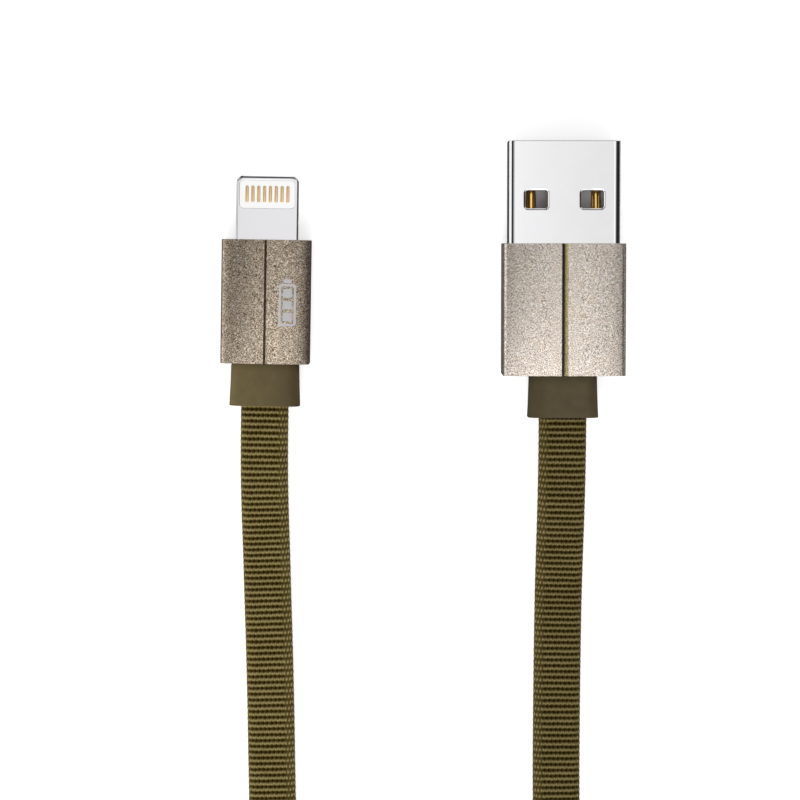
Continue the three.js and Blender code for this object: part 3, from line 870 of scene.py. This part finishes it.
def make_collar(name, matrix, dome, wall, material, nodes):
    """A rubber collar: wider towards the cord, rounded at its rim, with a pocket that the cord runs into, a
    slot for the wires and a flange that fills the sleeve's back end."""

    def ring(y, d=0.0):
        grow = 1.0 + COLLAR_FLARE * min(1, max(0, -y / COLLAR_LENGTH)) ** 1.5
        width, thick = (COLLAR_WIDTH - 2 * d) * grow, (COLLAR_THICKNESS - 2 * d) * grow
        return along_y(rounded(width, thick, COLLAR_RADIUS - min(d, 0.9), 6, 5), y)

    def pocket(y, d=0.0):
        width, thick = CORD_WIDTH + POCKET_PLAY, CORD_THICKNESS + POCKET_PLAY
        return along_y(rounded(width + 2 * d, thick + 2 * d, 1.05 + d, 6, 5), y)

    def slot(y):
        return along_y(rounded(WIRE_SLOT_WIDTH, WIRE_SLOT_HEIGHT, 0.4, 6, 5), y)

    def flange(y):
        gap = wall + 0.04
        outline = rounded(2 * (dome.edge + dome.r - gap), 2 * (dome.top - gap), 0.3, 6, 5)
        limit = dome.height(np.clip(outline[:, 0], -dome.end, dome.end)) - gap
        return along_y(np.stack([outline[:, 0], np.clip(outline[:, 1], -limit, limit)], 1), y)

    rim = 0.06
    back = -COLLAR_LENGTH
    rings = [slot(POCKET_FLOOR), pocket(POCKET_FLOOR), pocket(back + 0.15), pocket(back + 0.04, 0.04)]
    rings += [pocket(back, 0.12), ring(back, rim)]
    for a in (25, 50, 75, 90):
        t = math.radians(a)
        rings.append(ring(back + rim * (1 - math.cos(t)), rim * (1 - math.sin(t))))
    rings += [ring(y) for y in (-3.6, -2.6, -1.6, -0.8, -0.25)]
    rings += [ring(0.0, 0.10), ring(FLANGE_BACK, 0.12)]
    rings += [flange(FLANGE_BACK), flange(FLANGE_FRONT), slot(FLANGE_FRONT)]
    obj = place(loft(name, rings, loop=True, sharp=50), matrix)
    return finish_piece(obj, material, nodes)


def window(outline, inside, face, r):
    """A cutter from height inside to beyond the face, whose walls flare to round the face's edge by r."""
    side = 1 if face > inside else -1
    rings = [at_height(outline, inside)]
    for a in (0, 16, 32, 48, 64, 80):
        t = math.radians(a)
        rings.append(at_height(inset(outline, -r * (1 - math.cos(t))), face - side * r * (1 - math.sin(t))))
    for beyond in (0.02, 0.5):
        rings.append(at_height(inset(outline, -0.83 * r - 0.015), face + side * beyond))
    return loft("window", rings)


def make_usb_shell():
    """Folded steel sheet: a lip rounded inwards at the mouth, four windows and a seam along the underside."""
    half_width, half_height = SHELL_WIDTH / 2, SHELL_HEIGHT / 2

    def section(d, seam):
        across, up = max(0.72 - d, 0.3), max(0.4 - d, 0.2)
        t = np.radians(np.linspace(0, 90, 13))
        x = half_width - d - across + across * np.cos(t)
        corner = np.stack([x, half_height - d - up + up * np.sin(t)], 1)
        flat = np.stack([np.linspace(corner[-1, 0], 0, 7)[1:-1], np.full(5, half_height - d)], 1)
        half = np.vstack([corner, flat, [(0.03, half_height - d)]])
        upper = np.vstack([half, half[::-1] * (-1, 1)])
        lower = upper[::-1] * (1, -1)
        if seam:
            lower[np.abs(lower[:, 0]) < 0.05, 1] += 0.1
        return np.vstack([upper, lower])

    rings = [along_y(section(SHELL_WALL, False), SHELL_BACK), along_y(section(0, True), SHELL_BACK)]
    rings += [along_y(section(0, True), y) for y in (12.0, 17.0, SHELL_MOUTH - 0.06)]
    lip = ((0.012, True, 0.03), (0.03, False, 0), (SHELL_WALL - 0.06, False, 0), (SHELL_WALL, False, 0.08))
    rings += [along_y(section(d, seam), SHELL_MOUTH - y) for d, seam, y in lip]
    shell = loft("usb_plug_shell", rings, loop=True, sharp=40)
    cutters = []
    for x in (-SHELL_WINDOW_X, SHELL_WINDOW_X):
        for side in (1, -1):
            hole = rounded(2.34, 1.82, 0.25, 5) + (x, SHELL_WINDOW_Y)
            cutters.append(window(hole, side * 1.0, side * half_height, 0.27))
    cut_out(shell, cutters)
    place(shell, USB)
    return finish_piece(shell, shell_steel, ["usb_shell"])


def make_usb_contact(node):
    """A sprung strip with a rounded back, along the tongue."""
    low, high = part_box(node)
    x = (low.x + high.x) / 2 / MM - USB.translation.x / MM
    half, lean = 0.5, 58
    a = np.radians(np.linspace(lean, -lean, 13) + 90)
    r = half / math.sin(math.radians(lean))
    back = np.stack([r * np.cos(a), r * np.sin(a) - r + 0.16], 1)
    section = np.vstack([back[::-1], [(0.01 - half, -0.2), (half - 0.01, -0.2)]]) + (x, 0)
    stations = ((6.2, 0), (23.3, 0), (23.75, 0.06), (24.0, 0.2))
    rings = [along_y(section - (0, sink), y) for y, sink in stations]
    obj = place(loft(node + "_strip", rings, sharp=60), USB)
    return finish_piece(obj, contact_gold, [node])


def make_tab_frame():
    """The slim plug's steel frame: round edges, a round-cornered tip, a window and, in the middle of the
    thickness of each side, a latch dimple."""
    tip, half, r = TAB_TIP, TAB_WIDTH / 2, 0.75
    dimple = 16.0
    side = np.linspace(TAB_BACK, tip - r, 40)

    def plan(depth):
        dip = depth * smooth((0.95 - np.abs(side - dimple)) / 0.5)
        right = np.stack([half - dip, side], 1)
        corner = arc(half - r, tip - r, r, 0, 90, 8)[1:]
        front = np.stack([np.linspace(half - r, -half + r, 6)[1:-1], np.full(4, tip)], 1)
        return np.vstack([right, corner, front, corner[::-1] * (-1, 1), right[::-1] * (-1, 1)])

    outline = plan(0)
    edge = 0.19
    rings = []
    for a in (90, 78, 66, 54, 42, 28, 14, 0):
        t = math.radians(a)
        ring = inset(outline, edge * (1 - math.cos(t)))
        ring[:, 1] -= 0.22 * (1 - math.cos(t)) * smooth((outline[:, 1] - tip + r) / r)
        rings.append(at_height(ring, TAB_THICKNESS / 2 - edge + edge * math.sin(t)))
    rings += [at_height(plan(depth), z) for depth, z in ((0, 0.44), (0.1, 0.38), (0.24, 0.3), (0.24, 0.1))]
    rings += [ring * (1, 1, -1) for ring in rings[::-1]]
    tab = loft("slim_plug_tab", rings, sharp=40)
    hole = rounded(TAB_WINDOW_WIDTH, TAB_WINDOW_LENGTH, 0.5, 6) + (0, TAB_WINDOW_Y)
    cut_out(tab, [window(hole, 0.2 * side, TAB_THICKNESS / 2 * side, 0.05) for side in (1, -1)])
    place(tab, SLIM)
    return finish_piece(tab, tab_steel, ["slim_tab_frame"])


def make_tab_insulator():
    """The white insulator, which fills the tab's windows a little below its faces."""
    play = 0.02
    outline = rounded(TAB_WINDOW_WIDTH - play, TAB_WINDOW_LENGTH - play, 0.46, 6, 4) + (0, TAB_WINDOW_Y)
    rings = [at_height(inset(outline, d), z) for z, d in ((0.738, 0.10), (0.725, 0.04), (0.69, 0.0))]
    rings += [ring * (1, 1, -1) for ring in rings[::-1]]
    obj = place(loft("slim_plug_insulator", rings, sharp=60), SLIM)
    return finish_piece(obj, glowing_white_plastic, ["slim_tab_insulator"])


def make_pad(node, side):
    """A contact of the slim plug with rounded ends and rims; side is 1 on the top face and -1 underneath."""
    low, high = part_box(node)
    centre = SLIM.inverted() @ ((low + high) / 2) / MM
    outline = rounded(0.36, 1.82, 0.179, 6) + (centre.x, centre.y)
    rim = ((0.6, 0), (0.752, 0), (0.776, 0.03), (0.784, 0.08))
    rings = [at_height(inset(outline, d), side * z) for z, d in rim]
    obj = place(loft(node + "_pad", rings, sharp=70), SLIM)
    return finish_piece(obj, pad_gold, [node])


def make_battery_mark():
    """A plain battery sign in pale ink on the slim sleeve's right half, lying on its domed face."""
    middle = np.array((2.4, 6.4))
    width, length, line, step = 1.86, 4.55, 0.24, 1.28
    outer = rounded(width, length, 0.36, 5) + middle
    inner = rounded(width - 2 * line, length - 2 * line, 0.16, 5) + middle
    shapes = [(outer, inner), (rounded(0.84, 0.42, 0.14, 5) + middle + (0, 2.58), None)]
    for y in (-step, 0, step):
        shapes.append((rounded(0.94, 0.9, 0.08, 5) + middle + (0, y), None))
    verts, faces = [], []
    for a, b in shapes:
        start, n = len(verts), len(a)
        verts.extend(a)
        if b is None:
            faces.append(tuple(range(start, start + n)))
        else:
            verts.extend(b)
            faces += ring_faces(2, n, start=start)
    v = np.array(verts)
    above = 0.012
    z = SLIM_DOME.height(v[:, 0]) + above
    mark = place(mesh_object("battery_mark", np.column_stack([v, z]), faces, outward=False), SLIM)
    mark.data.materials.append(mark_ink)
    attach(mark, "root")


def make_tie(name, node, left, right):
    """A hook-and-loop tie: a band round one side of the hank, with its end lapped over the top."""
    bottom, top, wall = 0.12, 5.98, 0.5
    edge, flat = 4.5, 4.38
    cx, cz = (left + right) / 2, (bottom + top) / 2
    inner = rounded(right - left, top - bottom - wall, 1.0, 6, 6) + (cx, cz + wall / 2)
    outer = inset(inner, -wall)
    rings = []
    for outline, bevel, way in ((outer, 0.12, 1), (inner, -0.1, -1)):
        for y, d in ((-edge, bevel), (-flat, 0), (0, 0), (flat, 0), (edge, bevel)):
            rings.append(along_y(inset(outline, d), TIE_Y + way * y))
    band = loft(name, rings, loop=True, sharp=50)
    z = top + wall + 0.02
    x = np.linspace(left + 0.6, right - 2.2, 18)
    strip = []
    for i, v in enumerate(x):
        half = 4.2 if i < 14 else 4.2 - 0.22 * (i - 13) ** 2 * 0.5
        lift = 0.5 * smooth((i - 12) / 6)
        strip.append([(v, TIE_Y - half, z + lift), (v, TIE_Y + half, z + lift),
                      (v, TIE_Y + half, z + lift + 0.42), (v, TIE_Y - half, z + lift + 0.42)])
    lap = loft(name + "_lap", strip, sharp=40)
    with bpy.context.temp_override(active_object=band, selected_editable_objects=[band, lap]):
        bpy.ops.object.join()
    return finish_piece(band, tie_loops, [node])


USB_DOME = Dome(13.2, 7.6, 0.46, 0.05, 0.6)
SLIM_DOME = Dome(9.6, 5.6, 0.5, 0.1, 0.5)
USB_GROOVE = ((-0.34, 0), (-0.30, 0.02), (-0.28, 0.46), (-0.06, 0.46), (-0.04, 0.30), (0.36, 0.05), (0.42, 0))
SLIM_GROOVE = ((-0.14, 0), (-0.11, 0.03), (-0.09, 0.4), (0.09, 0.4), (0.11, 0.03), (0.14, 0))

make_sleeve("usb_plug_sleeve", USB, USB_SLEEVE_LENGTH, USB_SLEEVE_WALL, USB_DOME, USB_GROOVE,
            usb_metal, ["usb_sleeve"])
make_sleeve("slim_plug_sleeve", SLIM, SLIM_SLEEVE_LENGTH, SLIM_SLEEVE_WALL, SLIM_DOME, SLIM_GROOVE,
            slim_metal, ["slim_sleeve"])
make_battery_mark()
make_collar("usb_plug_collar", USB, USB_DOME, USB_SLEEVE_WALL, usb_rubber, ["usb_collar"])
make_collar("slim_plug_collar", SLIM, SLIM_DOME, SLIM_SLEEVE_WALL, slim_rubber, ["slim_collar"])
make_usb_shell()
for wire in wire_looks:
    make_usb_contact("usb_contact_" + wire)
make_tab_frame()
make_tab_insulator()
for face, side in (("top", 1), ("bottom", -1)):
    for i in range(1, 9):
        make_pad(f"slim_contact_{face}_{i}", side)
make_tie("tie_left", "hank_tie_left", -24.55, -14.95)
make_tie("tie_right", "hank_tie_right", 14.25, 23.9)

# ------------------------ CAD nodes that are shown as they are
shown_as_built = [
    (grey_plastic, ["usb_tongue"]),
    (mould_plastic, ["usb_inner_mould", "slim_inner_mould"]),
    (band_steel, ["usb_crimp_band", "slim_crimp_band", "slim_shield_can"]),
    (board_mask, ["slim_circuit_board"]),
    (chip_black, ["slim_controller_chip"]),
    (capacitor_tan, ["slim_capacitor_1", "slim_capacitor_2"]),
]
for wire, look in wire_looks.items():
    shown_as_built.append((look, ["usb_wire_" + wire, "slim_wire_" + wire]))
for look, nodes in shown_as_built:
    for node in nodes:
        frame["nodes"][node].data.materials.clear()
        frame["nodes"][node].data.materials.append(look)


# ------------------------ floor and light
def make_floor():
    """A pale table that glows a little. Reflections show it dark round the plugs and less dark farther off,
    but for a bright strip straight ahead of each tip."""
    bpy.ops.mesh.primitive_plane_add(size=3.0)
    floor = bpy.context.object
    floor.name = "floor"
    look = Look("pale_table", Roughness=0.8, Specular_IOR_Level=0.0, Emission_Strength=0.6)
    pale = look.mix(look.noise(40, 2.0), (0.93, 0.93, 0.93), (0.95, 0.95, 0.95))
    glossy = look.node("LightPath").outputs["Is Glossy Ray"]
    near = look.node("VectorMath")
    near.operation = "LENGTH"
    look.put(near.inputs[0], look.stretch(1, 0.8, 1))
    x, y, _ = look.axes(look.place)
    card = look.ramp(near.outputs["Value"], (45 * MM, 1.0), (60 * MM, 0.4))
    for middle, half, front in ((15.24, 6.2, 15.5), (-16.7, 3.6, 11.8)):
        strip = look.maths("COMPARE", x, middle * MM, half * MM)
        ahead = look.times(look.maths("GREATER_THAN", y, front * MM), strip)
        card = look.times(card, look.minus(1.0, ahead))
    colour = look.mix(look.times(glossy, card), pale, (0.06, 0.06, 0.06))
    look.set(Base_Color=colour, Emission_Color=colour)
    floor.data.materials.append(look.material)


# How bright the studio is by the direction's x and by its y, and in the corners where both are large.
ACROSS = (
    (-1.0, 1.2), (-0.66, 1.3), (-0.61, 0.04), (-0.33, 0.04), (-0.26, 0.38), (-0.13, 0.68), (-0.08, 0.98),
    (-0.05, 1.03), (0.0, 1.08), (0.035, 1.28), (0.055, 1.10), (0.085, 1.0), (0.13, 1.25), (0.30, 1.35),
    (0.40, 0.6), (0.50, 0.08), (0.70, 0.02), (1.0, 0.02),
)
ALONG = (
    (-1.0, 1.2), (-0.35, 1.15), (-0.15, 1.0), (0.28, 1.0), (0.42, 0.10), (0.86, 0.08), (0.94, 1.0),
    (1.0, 1.1),
)
CORNERS = 1.0


def make_world():
    """A studio of long soft boxes side by side, parallel to the plugs, with dark gaps between them, crossed
    by another row. The corners are evenly lit. The camera sees plain white beyond the table."""
    world = bpy.data.worlds.new("studio")
    bpy.context.scene.world = world
    world.use_nodes = True
    studio = Tree(world.node_tree)

    def curve(value, stops):
        n = studio.node("FloatCurve")
        points = n.mapping.curves[0].points
        while len(points) < len(stops):
            points.new(0.5, 0.5)
        for point, (at, height) in zip(points, stops):
            point.location = ((at + 1) / 2, height / 2)
            point.handle_type = "VECTOR"
        n.mapping.update()
        studio.put(n.inputs["Value"], studio.maths("MULTIPLY_ADD", value, 0.5, 0.5))
        return studio.times(n.outputs[0], 2.0)

    x, y, _ = studio.axes(studio.node("TexCoord").outputs["Generated"])
    rows = studio.times(curve(x, ACROSS), curve(y, ALONG))
    least = studio.maths("MINIMUM", studio.maths("ABSOLUTE", x), studio.maths("ABSOLUTE", y))
    corner = curve(least, ((-1.0, 0.0), (0.36, 0.0), (0.52, 1.0), (1.0, 1.0)))
    boxes = studio.tree.nodes["Background"]
    light = studio.maths("MULTIPLY_ADD", studio.minus(CORNERS, rows), corner, rows)
    studio.put(boxes.inputs["Color"], light)
    plain = studio.node("Background")
    plain.inputs["Color"].default_value = (1, 1, 1, 1)
    mix = studio.node("MixShader")
    studio.put(mix.inputs[0], studio.node("LightPath").outputs["Is Camera Ray"])
    studio.put(mix.inputs[1], boxes.outputs[0])
    studio.put(mix.inputs[2], plain.outputs[0])
    studio.put(studio.tree.nodes["World Output"].inputs["Surface"], mix.outputs[0])


def make_key_light():
    """A square light that faces the middle of the table."""
    data = bpy.data.lights.new("key", "AREA")
    data.size = 0.30
    data.energy = 0.6
    lamp = bpy.data.objects.new("key", data)
    lamp.location = (-0.10, -0.34, 0.44)
    lamp.rotation_euler = (-lamp.location).to_track_quat("-Z", "Y").to_euler()
    bpy.context.scene.collection.objects.link(lamp)


make_floor()
make_world()
make_key_light()
bpy.context.scene.view_settings.view_transform = "Standard"
